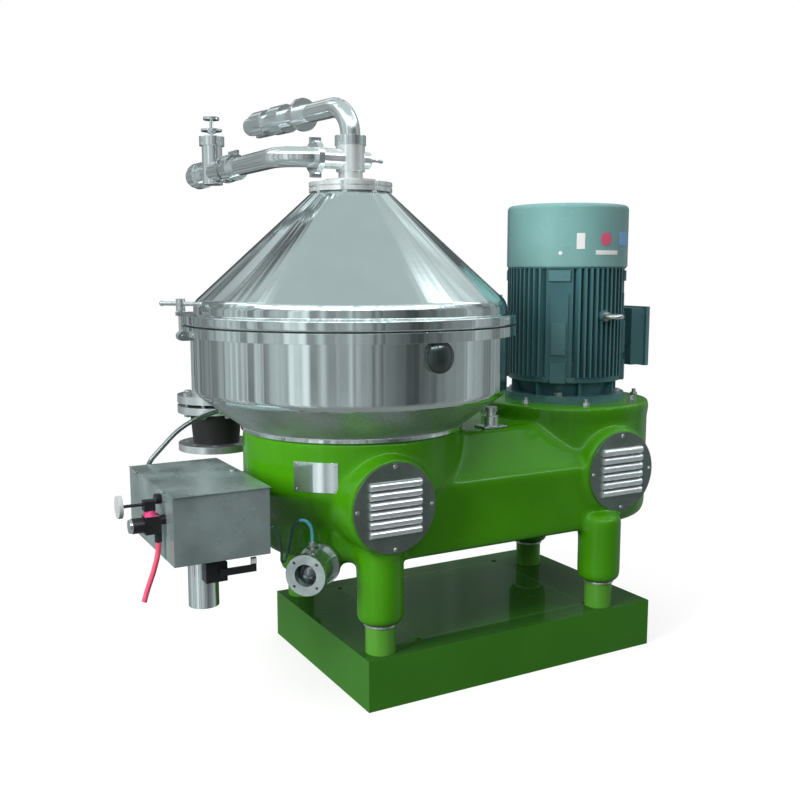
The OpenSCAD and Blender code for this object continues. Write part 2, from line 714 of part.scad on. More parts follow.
module motor_body() color("darkslategray") at_motor() difference() {
    union() {
        translate([0, 0, motor_drum_top]) cylinder(r = 175, h = motor_foot_z - motor_drum_top);
        translate([0, 0, motor_foot_z]) cylinder(r1 = 132, r2 = 146, h = 40);
        for (a = [22.5 : 45 : 337.5]) rotate([0, 0, a])
            translate([125, -4, motor_foot_z - 2]) cube([34, 8, 44]);
        translate([0, 0, stator_z - 16]) cylinder(r = 165, h = 16);
        translate([0, 0, stator_z]) cylinder(r = core_r, h = stator_top - stator_z);
        intersection() {
            translate([0, 0, stator_z]) cylinder(r = fin_r, h = stator_top - stator_z);
            union() for (q = [0 : 90 : 270]) rotate([0, 0, q]) for (i = [-4.5 : 4.5])
                translate([100, i * 17 - 2.5, stator_z]) cube([90, 5, stator_top - stator_z]);
        }
        for (q = [45 : 90 : 315]) rotate([0, 0, q]) {
            translate([100, -38, stator_z]) cube([64, 76, stator_top - stator_z]);
            translate([160, -26, 800]) cube([8, 52, 200]);
            translate([160, -20, 828]) cube([13, 40, 90]);
            translate([140, -22, stator_z - 16]) cube([34, 44, 56]);
            translate([150, -30, 1035]) cube([22, 60, 30]);
        }
        translate([0, 0, stator_top]) cylinder(r = 172, h = cowl_z - stator_top);
        translate([120, -66, 795]) cube([58, 132, 148]);
        translate([0, -130, 937]) rotate([90, 0, 0]) cylinder(r = 17, h = 46);
    }
    translate([0, 0, motor_drum_top - cut]) cylinder(r = shaft_r + run_gap, h = 400);
    translate([0, 0, stator_z - 4]) cylinder(r = core_r - 18, h = 300);
    for (q = [45 : 90 : 315]) rotate([0, 0, q]) translate([motor_pcr, 0, motor_drum_top - cut])
        cylinder(r = 8, h = 30);
}

module motor_shaft() color("gray") at_motor() {
    translate([0, 0, 480]) cylinder(r = shaft_r, h = 650);
    translate([0, 0, 820]) cylinder(r = 100, h = 190);
    translate([0, 0, 1100]) cylinder(r = 40, h = 45);
    translate([0, 0, 1100]) cylinder(r = 150, h = 4);
    for (a = [0 : 60 : 300]) rotate([0, 0, a]) translate([38, -2, 1102]) cube([108, 4, 43]);
}

module fan_cowl() color("cadetblue") at_motor(cowl_z) difference() {
    h = cowl_top - cowl_z;
    rotate_extrude()
        polygon(concat([[0, 0], [cowl_r, 0]], arc([cowl_r - 12, h - 12], 12, 0, 90, 5), [[0, h]]));
    translate([0, 0, -cut]) cylinder(r = cowl_r - 3, h = h - 5);
    for (r0 = [40, 75, 110]) for (a = [0 : 20 : 340]) rotate([0, 0, a])
        translate([r0, -3, h - 20]) cube([27, 6, 40]);
}

module terminal_box() color("darkslategray") {
    block([motor_x + 178, -90, 784], [motor_x + 232, 90, 953]);
    block([motor_x + 232, -94, 780], [motor_x + 246, 94, 957]);
    translate([motor_x + 205, 0, 766]) cylinder(r = box_gland_r, h = 18);
}

module lifting_eye() color("lightgray") translate([motor_x, -176, 937]) {
    rotate([90, 0, 0]) cylinder(r = 13, h = 8);
    translate([0, -35, 0]) rotate_extrude() translate([22, 0]) circle(r = 7);
}

// ---- fasteners ----

module hex_bolt(r, len, head) {
    translate([0, 0, -len]) cylinder(r = r, h = len);
    cylinder(r = head, h = r * 1.2, $fn = 6);
}

module flange_bolts() color("silver") {
    at_motor_bolts() translate([0, 0, 20]) hex_bolt(8, 40, 14);
    at_studs() {
        translate([0, 0, -20]) cylinder(r = 6, h = 40);
        cylinder(r = 11, h = 10, $fn = 6);
    }
    at_duct(duct_flange_z + duct_joint_h) at_eight(duct_pcr, duct_turn) {
        hex_bolt(duct_bolt_r, duct_joint_span + 12, 10.5);
        translate([0, 0, -duct_joint_span - 10]) cylinder(r = 10.5, h = 10, $fn = 6);
    }
}

// ---- control box and air line ----

// Places of the two lid hinges, along +Y
module at_lid_hinges() for (y = hinge_y) translate([hinge_at[0], y, hinge_at[1]]) rotate([-90, 0, 0])
    children();

module control_box() color("silver") {
    at_lid_hinges() {
        cylinder(r = hinge_pin_r, h = knuckle_l, center = true);
        for (s = [-1, 1]) translate([0, 0, s * 12 - 3]) {
            cylinder(r = knuckle_r, h = 6);
            translate([0, 1.6, 0]) cube([5, 5, 6]);
        }
    }
    difference() {
        block(box_lo, box_hi);
        block(box_lo + [box_t, box_t, box_t], box_hi + [-box_t, -box_t, cut]);
        translate([-808, -165, box_lo[2] - cut]) cylinder(r = 8, h = 6);
    }
    difference() {
        block([box_hi[0], -30, 470], [bowl_x - drum_r + 30, 60, 482]);
        at_bowl() rotate_extrude() polygon([[0, 300], [drum_low_r, 300], [drum_low_r, 440], [drum_r, 528],
            [drum_r, 700], [0, 700]]);
    }
    difference() {
        block([box_hi[0], -30, 540], [bowl_x - drum_r + 60, 60, 552]);
        at_bowl(500) cylinder(r = drum_r, h = 100);
    }
}

module control_box_lid() color("silver") {
    block([box_lo[0], box_lo[1] - 3, box_hi[2] + lid_gap],
        [box_hi[0] + 3, box_hi[1] + 3, box_hi[2] + lid_gap + lid_t]);
    at_lid_hinges() difference() {
        union() {
            cylinder(r = knuckle_r, h = 17, center = true);
            translate([0, -lid_t / 2, -8.5]) cube([6, lid_t, 17]);
        }
        cylinder(r = hinge_pin_r + run_gap, h = 20, center = true);
    }
    translate([-700, -60, box_hi[2] + lid_gap + lid_t]) cylinder(r = 7, h = 5);
}

// Parts of the regulator lie along -X from the box's side
module along_box(y, z) translate([box_lo[0], y, z]) rotate([0, -90, 0]) children();

module air_regulator() color("dimgray") {
    along_box(regulator_y, 519) cylinder(r = 11, h = 12);
    difference() {
        block([-952, regulator_y - 16, 492], [box_lo[0] - 12, regulator_y + 16, 532]);
        along_box(regulator_y, 512) translate([0, 0, 30]) cylinder(r = 4 + run_gap, h = 20);
    }
    translate([-938, regulator_y, 532]) cylinder(r = 13, h = 12);
    block([-952, regulator_y - 12, 544], [-928, regulator_y + 12, 566]);
    along_box(regulator_y, 566 - 8) translate([0, 0, 47]) cylinder(r = 3.5, h = 47);
    along_box(regulator_y, 566 - 8) translate([0, 0, 94]) cylinder(r = 25, h = 9);
    translate([-921, regulator_y, 470]) cylinder(r = 8, h = 22);
    along_box(regulator_y + 30, 560) cylinder(r = 12, h = 14);
}

module regulator_knob() color("black") along_box(regulator_y, 512) {
    translate([0, 0, 32]) cylinder(r = 4, h = 16);
    translate([0, 0, 47 + free_gap]) cylinder(r = 17, h = 26);
    translate([0, 0, 73 + free_gap]) cylinder(r = 15, h = 6);
}

module lever_valve() color("gray") {
    translate([-812, -165, 298]) cylinder(r = 35, h = box_lo[2] - 298);
    difference() {
        block([-826, -232, 368], [-776, -196, 412]);
        translate([-812, -165, 360]) cylinder(r = 35, h = 60);
        translate([-790, -236, 392]) rotate([-90, 0, 0]) cylinder(r = 5 + run_gap, h = 24);
    }
    block([-818, -206, 412], [-784, -199, box_lo[2]]);
}

module valve_lever() color("black") {
    translate([-790, -240, 392]) rotate([-90, 0, 0]) cylinder(r = 5, h = 24);
    block([-796, -246, 384], [-712, -240, 400]);
    block([-724, -246, 400], [-712, -240, 417]);
}

module water_tube() color("darkgray") translate(water_at) {
    run([["s", water_rise], concat(["a"], water_bend), ["s", water_mid], concat(["a"], water_sweep),
        ["s", water_lead]], water_r);
    translate([0, -15, 10]) rotate([-90, 0, 0]) cylinder(r = 8, h = 15);
    cylinder(r = 9, h = water_rise);
}

// ---- drain valve ----

module at_drain(reach) at_bowl(drain_z) rotate([0, 90, drain_turn]) translate([0, 0, reach]) children();

module drain_valve() color("silver") difference() {
    union() {
        at_drain(248) cylinder(r = 52, h = 12);
        at_drain(260) cylinder(r = 44, h = drain_face - 272);
        at_drain(drain_face - 12) cylinder(r = drain_flange_r, h = 12);
        at_bowl() rotate([0, 0, drain_turn]) translate([302, 0, drain_z]) {
            cylinder(r = 15, h = 54);
            translate([0, 0, 54]) cylinder(r = 8, h = 16);
        }
        for (a = [0 : 60 : 300]) at_drain(260) rotate([0, 0, a]) translate([46, 0, 0])
            cylinder(r = 3.5, h = drain_face - 272);
    }
    at_drain(240) cylinder(r = drain_bore_r, h = 130);
    at_drain(302) sphere(r = ball_r + 0.4);
    for (a = [45 : 90 : 315]) at_drain(drain_face - 20) rotate([0, 0, a]) translate([drain_pcr, 0, 8 - cut])
        cylinder(r = 3.5, h = 20);
    at_bowl() rotate([0, 0, drain_turn]) translate([302, 0, drain_z + 20]) cylinder(r = 5 + run_gap, h = 30);
}

module drain_ball() color("lightgray") at_bowl() rotate([0, 0, drain_turn]) translate([302, 0, drain_z]) {
    difference() {
        sphere(r = ball_r);
        rotate([90, 0, 0]) cylinder(r = 22, h = 80, center = true);
    }
    translate([0, 0, 30]) cylinder(r = 5, h = 18);
}

module red_hose() color("crimson") sweep(red_route, red_r, 10);

module blue_tube() color("dodgerblue") sweep(blue_route, blue_r, 8);

// ---- oil filler on the belt housing ----

module oil_filler() color("silver") {
    block([filler_at[0] - 36, filler_at[1] - 25, 640], [filler_at[0] + 36, filler_at[1] + 25, 645]);
    translate(filler_at) cylinder(r = 20, h = 26);
    translate(filler_at + [0, 0, 26]) ring(14, 5 + run_gap, 12);
}

module filler_cap() color("gainsboro") translate(filler_at + [0, 0, 38]) {
    translate([0, 0, -10]) cylinder(r = 5, h = 11);
    translate([0, 0, 0.5]) cylinder(r = 18, h = 12);
}

base_plinth();
legs();
feet();
foot_washers();
drive_frame();
louvre_cover_left();
louvre_cover_right();
cover_screws();
rating_plate();
bearing_housing();
spindle_bearings();
spindle();
driven_pulley();
drive_belt();
drive_pulley();
casing_ring();
lower_casing();
rim_seal();
hood();
top_collar();
casing_port();
clamp_bolt_left();
clamp_bolt_right();
clamp_handle_left();
clamp_handle_right();
pipe_hub();
lock_pin();
ring_nut();
feed_pipe();
pipe_unions();
outlet_pipe();
outlet_valve();
handwheel();
feed_tube();
bowl_body();
bowl_lid();
lock_ring();
disc_stack();
sludge_duct();
sludge_flanges();
sludge_sleeve();
motor_body();
motor_shaft();
fan_cowl();
terminal_box();
lifting_eye();
flange_bolts();
control_box();
control_box_lid();
air_regulator();
regulator_knob();
lever_valve();
valve_lever();
water_tube();
drain_valve();
drain_ball();
red_hose();
blue_tube();
oil_filler();
filler_cap();
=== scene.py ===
import math

import bmesh
import bpy
from mathutils import Matrix, Vector


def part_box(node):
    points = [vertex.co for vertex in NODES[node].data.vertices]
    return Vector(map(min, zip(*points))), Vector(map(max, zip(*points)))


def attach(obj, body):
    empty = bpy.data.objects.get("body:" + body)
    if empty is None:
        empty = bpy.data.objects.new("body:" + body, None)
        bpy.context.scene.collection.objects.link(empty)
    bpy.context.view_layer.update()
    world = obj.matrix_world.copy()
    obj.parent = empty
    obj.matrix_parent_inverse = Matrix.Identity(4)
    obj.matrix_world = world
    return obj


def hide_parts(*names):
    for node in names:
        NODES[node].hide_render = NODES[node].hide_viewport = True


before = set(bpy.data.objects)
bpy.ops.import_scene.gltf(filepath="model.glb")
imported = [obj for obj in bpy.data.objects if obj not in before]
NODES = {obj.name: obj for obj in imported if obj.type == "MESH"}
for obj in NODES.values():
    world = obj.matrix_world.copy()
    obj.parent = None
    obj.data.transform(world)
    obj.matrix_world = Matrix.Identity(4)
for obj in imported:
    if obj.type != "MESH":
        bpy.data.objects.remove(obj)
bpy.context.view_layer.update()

MM = 0.001
TURN = 2 * math.pi


# ---- places taken from the frame ----

def middle(node):
    """Centre of a CAD node's box."""
    low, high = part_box(node)
    return (low + high) / 2


BOWL = middle("hood")
MOTOR = middle("fan_cowl")
COWL_R = (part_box("fan_cowl")[1].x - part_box("fan_cowl")[0].x) / 2
# Radius of the cast drum under the bowl, as in the CAD
DRUM_R = 288 * MM


# ---- camera, first because the cords are measured against its view ----

# Fitted to the photo: place in metres, lens and sensor in millimetres, turns in degrees
CAMERA_AT = (-1.4526, -2.2467, 1.0646)
CAMERA_TILT = 82.27
CAMERA_HEADING = -29.14
LENS = 42.95
SENSOR = 36


def make_camera():
    """Camera at the photo's viewing angle."""
    data = bpy.data.cameras.new("camera")
    data.sensor_width = SENSOR
    data.lens = LENS
    camera = bpy.data.objects.new("camera", data)
    camera.location = CAMERA_AT
    camera.rotation_euler = (math.radians(CAMERA_TILT), 0, math.radians(CAMERA_HEADING))
    bpy.context.scene.collection.objects.link(camera)
    bpy.context.scene.camera = camera


# ---- shader nodes ----

# Noise lies mostly between these values
NOISE_SPAN = (0.3, 0.7)
# Radius that every edge is broken to in the shading
EDGE_R = 1.2 * MM
EDGE_SAMPLES = 4


def add_node(tree, kind, inputs=(), **settings):
    """New shader node. Each of its inputs is given as a fixed value or as another node's output."""
    made = tree.nodes.new("ShaderNode" + kind)
    for name, value in settings.items():
        setattr(made, name, value)
    for name, given in dict(inputs).items():
        if isinstance(given, bpy.types.NodeSocket):
            tree.links.new(given, made.inputs[name])
        else:
            made.inputs[name].default_value = given
    return made


def position(tree):
    """Place in the object's own coordinates."""
    return add_node(tree, "TexCoord").outputs["Object"]


def noise(tree, vector, scale, detail=3.0):
    """Noise value at a place, with scale as cells per unit of length."""
    return add_node(tree, "TexNoise", {"Vector": vector, "Scale": scale, "Detail": detail}).outputs["Fac"]


def map_range(tree, value, source, target=(0, 1), **settings):
    """Value moved from one range to another and held at the ends."""
    ends = {"From Min": source[0], "From Max": source[1], "To Min": target[0], "To Max": target[1]}
    return add_node(tree, "MapRange", {"Value": value, **ends}, **settings).outputs["Result"]


def mix(tree, share, first, second):
    """Colour between two, each a fixed colour or an output, by a share from 0 to 1."""
    ends = {}
    for name, given in (("A", first), ("B", second)):
        ends[name] = (*given, 1) if isinstance(given, tuple) else given
    return add_node(tree, "Mix", {"Factor": share, **ends}, data_type="RGBA").outputs["Result"]


def blend_by(tree, value, span, first, second):
    """Colour that goes softly from the first to the second as value crosses the span."""
    return mix(tree, map_range(tree, value, span, interpolation_type="SMOOTHSTEP"), first, second)


def bump(tree, shader, height, strength, distance):
    """Relief from a height, over edges that are broken to a small radius."""
    rounded = add_node(tree, "Bevel", {"Radius": EDGE_R}, samples=EDGE_SAMPLES)
    relief = {"Normal": rounded.outputs["Normal"], "Strength": strength, "Distance": distance,
              "Height": height}
    tree.links.new(add_node(tree, "Bump", relief).outputs["Normal"], shader.inputs["Normal"])


# ---- materials ----

def new_material(name, colour, metallic, rough):
    """Material with one even finish, its node tree and its shader."""
    material = bpy.data.materials.new(name)
    material.use_nodes = True
    tree = material.node_tree
    shader = tree.nodes["Principled BSDF"]
    shader.inputs["Base Color"].default_value = (*colour, 1)
    shader.inputs["Metallic"].default_value = metallic
    shader.inputs["Roughness"].default_value = rough
    return material, tree, shader


def shade(colour, factor):
    """Colour made darker or lighter."""
    return tuple(min(1.0, c * factor) for c in colour)


def vary_colour(tree, shader, value, dark, light):
    """Base colour that follows a noise value."""
    spread = map_range(tree, value, NOISE_SPAN)
    tree.links.new(mix(tree, spread, dark, light), shader.inputs["Base Color"])


def vary_rough(tree, shader, value, low, high):
    """Roughness that follows a noise value."""
    tree.links.new(map_range(tree, value, NOISE_SPAN, (low, high)), shader.inputs["Roughness"])


def surface(name, colour, metallic, rough, vary, patch, grain, depth, coat=0.0, rough_vary=0.25):
    """
    Patchy colour over a fine grain that the gloss follows. vary is the share by which the colour varies,
    patch and grain are cells per metre, and depth is the grain's depth in millimetres.
    """
    material, tree, shader = new_material(name, colour, metallic, rough)
    where = position(tree)
    vary_colour(tree, shader, noise(tree, where, patch), shade(colour, 1 - vary), shade(colour, 1 + vary))
    fine = noise(tree, where, grain)
    vary_rough(tree, shader, fine, rough * (1 - rough_vary), rough * (1 + rough_vary))
    bump(tree, shader, fine, 0.5, depth * MM)
    if coat:
        shader.inputs["Coat Weight"].default_value = coat
        shader.inputs["Coat Roughness"].default_value = 0.05
    return material


def paint(name, colour, edge, rough=0.22, coat=0.35, gloss=0.12, peel=0.3):
    """
    Sprayed enamel with patchy colour, orange peel and thin wear along its edges. edge is the colour of the
    wear, gloss the specular level under the clear coat, and peel the orange peel's depth in millimetres.
    """
    wear_span, most_wear = (0.56, 0.68), 0.55
    colour_cells, gloss_cells, peel_cells = 5, 14, 95
    material, tree, shader = new_material(name, colour, 0, rough)
    where = position(tree)
    patches = map_range(tree, noise(tree, where, colour_cells), NOISE_SPAN)
    base = mix(tree, patches, shade(colour, 0.88), shade(colour, 1.10))
    pointed = add_node(tree, "NewGeometry").outputs["Pointiness"]
    wear = map_range(tree, pointed, wear_span, (0, most_wear))
    tree.links.new(mix(tree, wear, base, edge), shader.inputs["Base Color"])
    vary_rough(tree, shader, noise(tree, where, gloss_cells), rough * 0.75, rough * 1.35)
    bump(tree, shader, noise(tree, where, peel_cells, 2), 0.22, peel * MM)
    shader.inputs["Specular IOR Level"].default_value = gloss
    shader.inputs["Coat Weight"].default_value = coat
    shader.inputs["Coat Roughness"].default_value = 0.06
    return material


def polished_sheet(name, colour, centre):
    """Polished sheet spun round an upright axis: slight upright waves and fine turning marks."""
    wave_cells, mark_cells, smudge_cells = 5, 900, 7
    mark_share, relief = 0.012, 12 * MM
    material, tree, shader = new_material(name, colour, 1, 0.07)
    where = position(tree)
    inward = add_node(tree, "VectorMath", {0: where, 1: centre}, operation="SUBTRACT")
    split = add_node(tree, "SeparateXYZ", {"Vector": inward.outputs["Vector"]}).outputs
    flat = add_node(tree, "CombineXYZ", {"X": split["X"], "Y": split["Y"]})
    round_axis = add_node(tree, "VectorMath", {0: flat.outputs["Vector"]}, operation="NORMALIZE")
    waves = noise(tree, round_axis.outputs["Vector"], wave_cells, 2)
    level = add_node(tree, "CombineXYZ", {"Z": split["Z"]})
    marks = noise(tree, level.outputs["Vector"], mark_cells, 2)
    height = add_node(tree, "Math", {0: marks, 1: mark_share, 2: waves}, operation="MULTIPLY_ADD")
    smudge = noise(tree, where, smudge_cells)
    vary_colour(tree, shader, smudge, shade(colour, 0.93), colour)
    vary_rough(tree, shader, smudge, 0.05, 0.12)
    bump(tree, shader, height.outputs["Value"], 0.35, relief)
    return material


FINISH = {
    "green": paint("green_enamel", (0.050, 0.250, 0.003), (0.20, 0.42, 0.12)),
    "plinth": paint("plinth_enamel", (0.028, 0.150, 0.003), (0.08, 0.28, 0.05), rough=0.18, coat=0.2),
    # Plinth top: its darker colour is painted shade from the frame above it, and its high gloss is real
    "shaded_plinth_top": paint("plinth_top_painted_shade", (0.010, 0.045, 0.004), (0.08, 0.28, 0.05), rough=0.05, coat=0.32,
                  gloss=0.06, peel=0.02),
    "motor": paint("motor_enamel", (0.058, 0.160, 0.178), (0.18, 0.34, 0.35), rough=0.34, coat=0.3,
                   gloss=0.3),
    "cowl": paint("cowl_enamel", (0.168, 0.345, 0.335), (0.32, 0.50, 0.47), rough=0.32, coat=0.25,
                  gloss=0.3),
    "casing": polished_sheet("polished_sheet", (0.80, 0.85, 0.85), BOWL),
    # Metals: name, colour, metallic, roughness, colour variation, patches, grain and depth
    "cone": surface("brushed_cone", (0.42, 0.47, 0.46), 0.52, 0.30, 0.34, 5, 500, 0.004),
    "pipe": surface("polished_tube", (0.88, 0.92, 0.93), 0.93, 0.11, 0.05, 12, 900, 0.01),
    "bright": surface("bright_steel", (0.92, 0.95, 0.95), 0.70, 0.15, 0.05, 14, 900, 0.01),
    "satin": surface("satin_steel", (0.78, 0.82, 0.82), 0.86, 0.24, 0.08, 14, 1600, 0.01),
    "valve": surface("valve_steel", (0.52, 0.57, 0.56), 0.9, 0.26, 0.16, 40, 1600, 0.01),
    "box": surface("annealed_sheet", (0.38, 0.48, 0.47), 0.65, 0.25, 0.20, 9, 9, 0.5, rough_vary=0.35),
    "cover": surface("cover_sheet", (0.22, 0.27, 0.24), 0.8, 0.32, 0.20, 12, 900, 0.02),
    "louvre": surface("louvre_sheet", (0.90, 0.92, 0.95), 0.8, 0.24, 0.04, 20, 900, 0.01),
    "bolt": surface("zinc_bolt", (0.62, 0.64, 0.64), 0.9, 0.26, 0.12, 60, 1600, 0.01),
    "cast": surface("machined_iron", (0.20, 0.205, 0.21), 0.8, 0.45, 0.15, 25, 350, 0.1),
    "bowl": surface("bowl_steel", (0.60, 0.62, 0.63), 1, 0.22, 0.06, 10, 900, 0.01),
    # Drain ball: chrome darkened to dark grey, which is painted shade from the dark bore it sits in
    "ball": surface("chrome_ball_painted_shade", (0.26, 0.28, 0.29), 1, 0.10, 0.50, 60, 300, 0.1),
    "dark_steel": surface("dark_steel", (0.30, 0.32, 0.32), 1, 0.20, 0.08, 14, 1600, 0.01),
    # Rubber, plastic and labels
    "black": surface("moulded_black", (0.014, 0.014, 0.016), 0, 0.34, 0.15, 30, 700, 0.06),
    "rubber": surface("black_rubber", (0.016, 0.016, 0.016), 0, 0.58, 0.20, 18, 500, 0.15),
    "belt": surface("belt_rubber", (0.10, 0.055, 0.03), 0, 0.70, 0.20, 20, 300, 0.2),
    "red": surface("red_tube", (0.78, 0.085, 0.17), 0, 0.24, 0.08, 40, 300, 0.04, coat=0.4),
    "blue": surface("blue_tube", (0.016, 0.095, 0.110), 0, 0.22, 0.08, 40, 300, 0.04, coat=0.4),
    "sleeve": surface("pale_sleeve", (0.10, 0.44, 0.56), 0, 0.30, 0.06, 60, 400, 0.04),
    "pink": surface("pink_ring", (0.80, 0.09, 0.28), 0, 0.35, 0.06, 60, 400, 0.04),
    "pale": surface("pale_knob", (0.42, 0.44, 0.44), 0, 0.40, 0.06, 60, 400, 0.04),
    "white": surface("white_label", (0.80, 0.82, 0.81), 0, 0.45, 0.04, 40, 600, 0.04),
    "rose": surface("rose_label", (0.66, 0.10, 0.20), 0, 0.45, 0.06, 40, 600, 0.04),
    "sky": surface("blue_label", (0.18, 0.38, 0.66), 0, 0.45, 0.06, 40, 600, 0.04),
    # The dark dome on the casing
    "dark_dome": surface("dark_dome", (0.045, 0.062, 0.060), 0.6, 0.12, 0.10, 20, 300, 0.02, coat=0.8),
}

# CAD nodes by finish, with those that a new piece replaces
NODES_BY_FINISH = {
    "plinth": ["base_plinth"],
    "green": ["feet", "drive_frame", "legs"],
    "bolt": ["foot_washers", "cover_screws", "clamp_bolt_left", "clamp_bolt_right", "clamp_handle_left",
             "clamp_handle_right", "lock_pin", "lifting_eye", "flange_bolts", "filler_cap"],
    "cover": ["louvre_cover_left", "louvre_cover_right"],
    "pipe": ["rating_plate", "ring_nut", "feed_pipe", "pipe_unions", "outlet_pipe", "outlet_valve",
             "handwheel", "feed_tube", "lever_valve"],
    "cast": ["bearing_housing", "driven_pulley", "drive_pulley"],
    "satin": ["spindle_bearings", "spindle", "sludge_duct", "sludge_flanges", "motor_shaft", "oil_filler"],
    "belt": ["drive_belt"],
    "casing": ["casing_ring", "lower_casing", "hood"],
    "rubber": ["rim_seal", "sludge_sleeve"],
    "bright": ["top_collar", "pipe_hub"],
    "dark_dome": ["casing_port"],
    "red": ["red_hose"],
    "blue": ["blue_tube"],
    "bowl": ["bowl_body", "bowl_lid", "lock_ring", "disc_stack"],
    "motor": ["motor_body", "terminal_box"],
    "cowl": ["fan_cowl"],
    "box": ["control_box", "control_box_lid"],
    "black": ["air_regulator", "regulator_knob", "valve_lever"],
    "dark_steel": ["water_tube"],
    "valve": ["drain_valve"],
    # The drain ball's dark colour is painted shade
    "ball": ["drain_ball"],
}


def dress_nodes():
    """Gives each CAD node its finish."""
    for key, names in NODES_BY_FINISH.items():
        for name in names:
            materials = NODES[name].data.materials
            materials.clear()
            materials.append(FINISH[key])


def paint_faces(name, key, test):
    """Gives a second finish to the faces of a CAD node whose centre passes the test."""
    mesh = NODES[name].data
    mesh.materials.append(FINISH[key])
    index = len(mesh.materials) - 1
    for face in mesh.polygons:
        if test(face.center):
            face.material_index = index


# How far in front of a cover's back its louvres begin
LOUVRE_STEP = 4.5 * MM
# Where the small fittings change colour
PINK_RING = (531 * MM, 545 * MM)
PINK_RING_X = -924 * MM
PALE_KNOB_X = -998 * MM
BRIGHT_KNOB_X = -978 * MM
BLACK_BLOCK_Y = -201 * MM
BLACK_BLOCK_TOP = 413 * MM
# Height at which the casing's brushed cone meets its polished band
CONE_TOP = 748 * MM


def two_tone_nodes():
    """Second finishes on parts of some CAD nodes, and a darker enamel on the plinth's top that is painted
    shade from the frame above it.
    """
    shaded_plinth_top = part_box("base_plinth")[1].z
    # The plinth's top faces take the darker enamel, which is painted shade
    paint_faces("base_plinth", "shaded_plinth_top", lambda c: c.z > shaded_plinth_top - MM)
    for name in ("louvre_cover_left", "louvre_cover_right"):
        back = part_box(name)[1].y
        paint_faces(name, "louvre", lambda c: c.y < back - LOUVRE_STEP)
    paint_faces("air_regulator", "pink", lambda c: PINK_RING[0] < c.z < PINK_RING[1] and c.x < PINK_RING_X)
    paint_faces("air_regulator", "pale", lambda c: c.x < PALE_KNOB_X)
    paint_faces("regulator_knob", "pipe", lambda c: c.x < BRIGHT_KNOB_X)
    paint_faces("lever_valve", "black", lambda c: c.y < BLACK_BLOCK_Y and c.z < BLACK_BLOCK_TOP)
    paint_faces("lower_casing", "cone", lambda c: c.z < CONE_TOP)


# ---- building meshes ----


def add_piece(name, mesh, key, body, replaces=(), sharp=35):
    """New piece with a finish, riding on a body. Edges over the sharp angle stay sharp."""
    mesh.materials.append(FINISH[key])
    for face in mesh.polygons:
        face.use_smooth = True
    mesh.set_sharp_from_angle(angle=math.radians(sharp))
    piece = bpy.data.objects.new(name, mesh)
    bpy.context.scene.collection.objects.link(piece)
    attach(piece, body)
    if replaces:
        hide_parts(*replaces)
    return piece


def mesh_from(name, points, faces):
    """Mesh with its faces turned outwards."""
    mesh = bpy.data.meshes.new(name)
    mesh.from_pydata([tuple(p) for p in points], [], faces)
    mesh.update()
    tidy = bmesh.new()
    tidy.from_mesh(mesh)
    bmesh.ops.recalc_face_normals(tidy, faces=tidy.faces)
    tidy.to_mesh(mesh)
    tidy.free()
    return mesh


def round_corners(points, radius, steps=4):
    """Closed outline with each corner replaced by a short curve, tighter where sides are short."""
    made = []
    count = len(points)
    for i in range(count):
        before, here, after = (Vector(points[(i + k) % count]) for k in (-1, 0, 1))
        back, ahead = before - here, after - here
        reach = min(radius, back.length * 0.45, ahead.length * 0.45)
        a = here + back.normalized() * reach
        b = here + ahead.normalized() * reach
        for k in range(steps + 1):
            t = k / steps
            made.append(a * (1 - t) ** 2 + here * 2 * t * (1 - t) + b * t ** 2)
    return made


def lathe(name, outline, centre, segments=192, axis=None):
    """Closed outline of (radius, height) turned round the upright axis, or round another axis."""
    turn = Vector((0, 0, 1)).rotation_difference(Vector(axis)) if axis else Matrix.Identity(3)
    points = []
    for i in range(segments):
        angle = TURN * i / segments
        for r, z in outline:
            local = Vector((r * math.cos(angle), r * math.sin(angle), z))
            points.append(Vector(centre) + (turn @ local))
    n = len(outline)
    faces = []
    for i in range(segments):
        j = (i + 1) % segments
        faces += [(i * n + k, j * n + k, j * n + (k + 1) % n, i * n + (k + 1) % n) for k in range(n)]
    return mesh_from(name, points, faces)


def smooth_line(points, per_span=8):
    """Catmull-Rom curve through the points."""
    spots = [Vector(p) for p in points]
    spots = [2 * spots[0] - spots[1], *spots, 2 * spots[-1] - spots[-2]]
    made = []
    for i in range(1, len(spots) - 2):
        a, b, c, d = spots[i - 1:i + 3]
        for k in range(per_span):
            t = k / per_span
            made.append(0.5 * (2 * b + (c - a) * t + (2 * a - 5 * b + 4 * c - d) * t ** 2
                               + (3 * b - a - 3 * c + d) * t ** 3))
    made.append(spots[-2])
    return made


def tube(name, line, radius, sides=20):
    """Round tube along a line, closed at both ends."""
    points = []
    across = None
    for i, spot in enumerate(line):
        along = (line[min(i + 1, len(line) - 1)] - line[max(i - 1, 0)]).normalized()
        across = (across or along.orthogonal())
        across = (across - along * across.dot(along)).normalized()
        other = along.cross(across)
        for k in range(sides):
            angle = TURN * k / sides
            points.append(spot + radius * (math.cos(angle) * across + math.sin(angle) * other))
    faces = []
    for i in range(len(line) - 1):
        for k in range(sides):
            m = (k + 1) % sides
            faces.append((i * sides + k, i * sides + m, (i + 1) * sides + m, (i + 1) * sides + k))
    faces.append(tuple(range(sides)))
    faces.append(tuple(range(len(points) - sides, len(points))))
    return mesh_from(name, points, faces)


# ---- cords ----

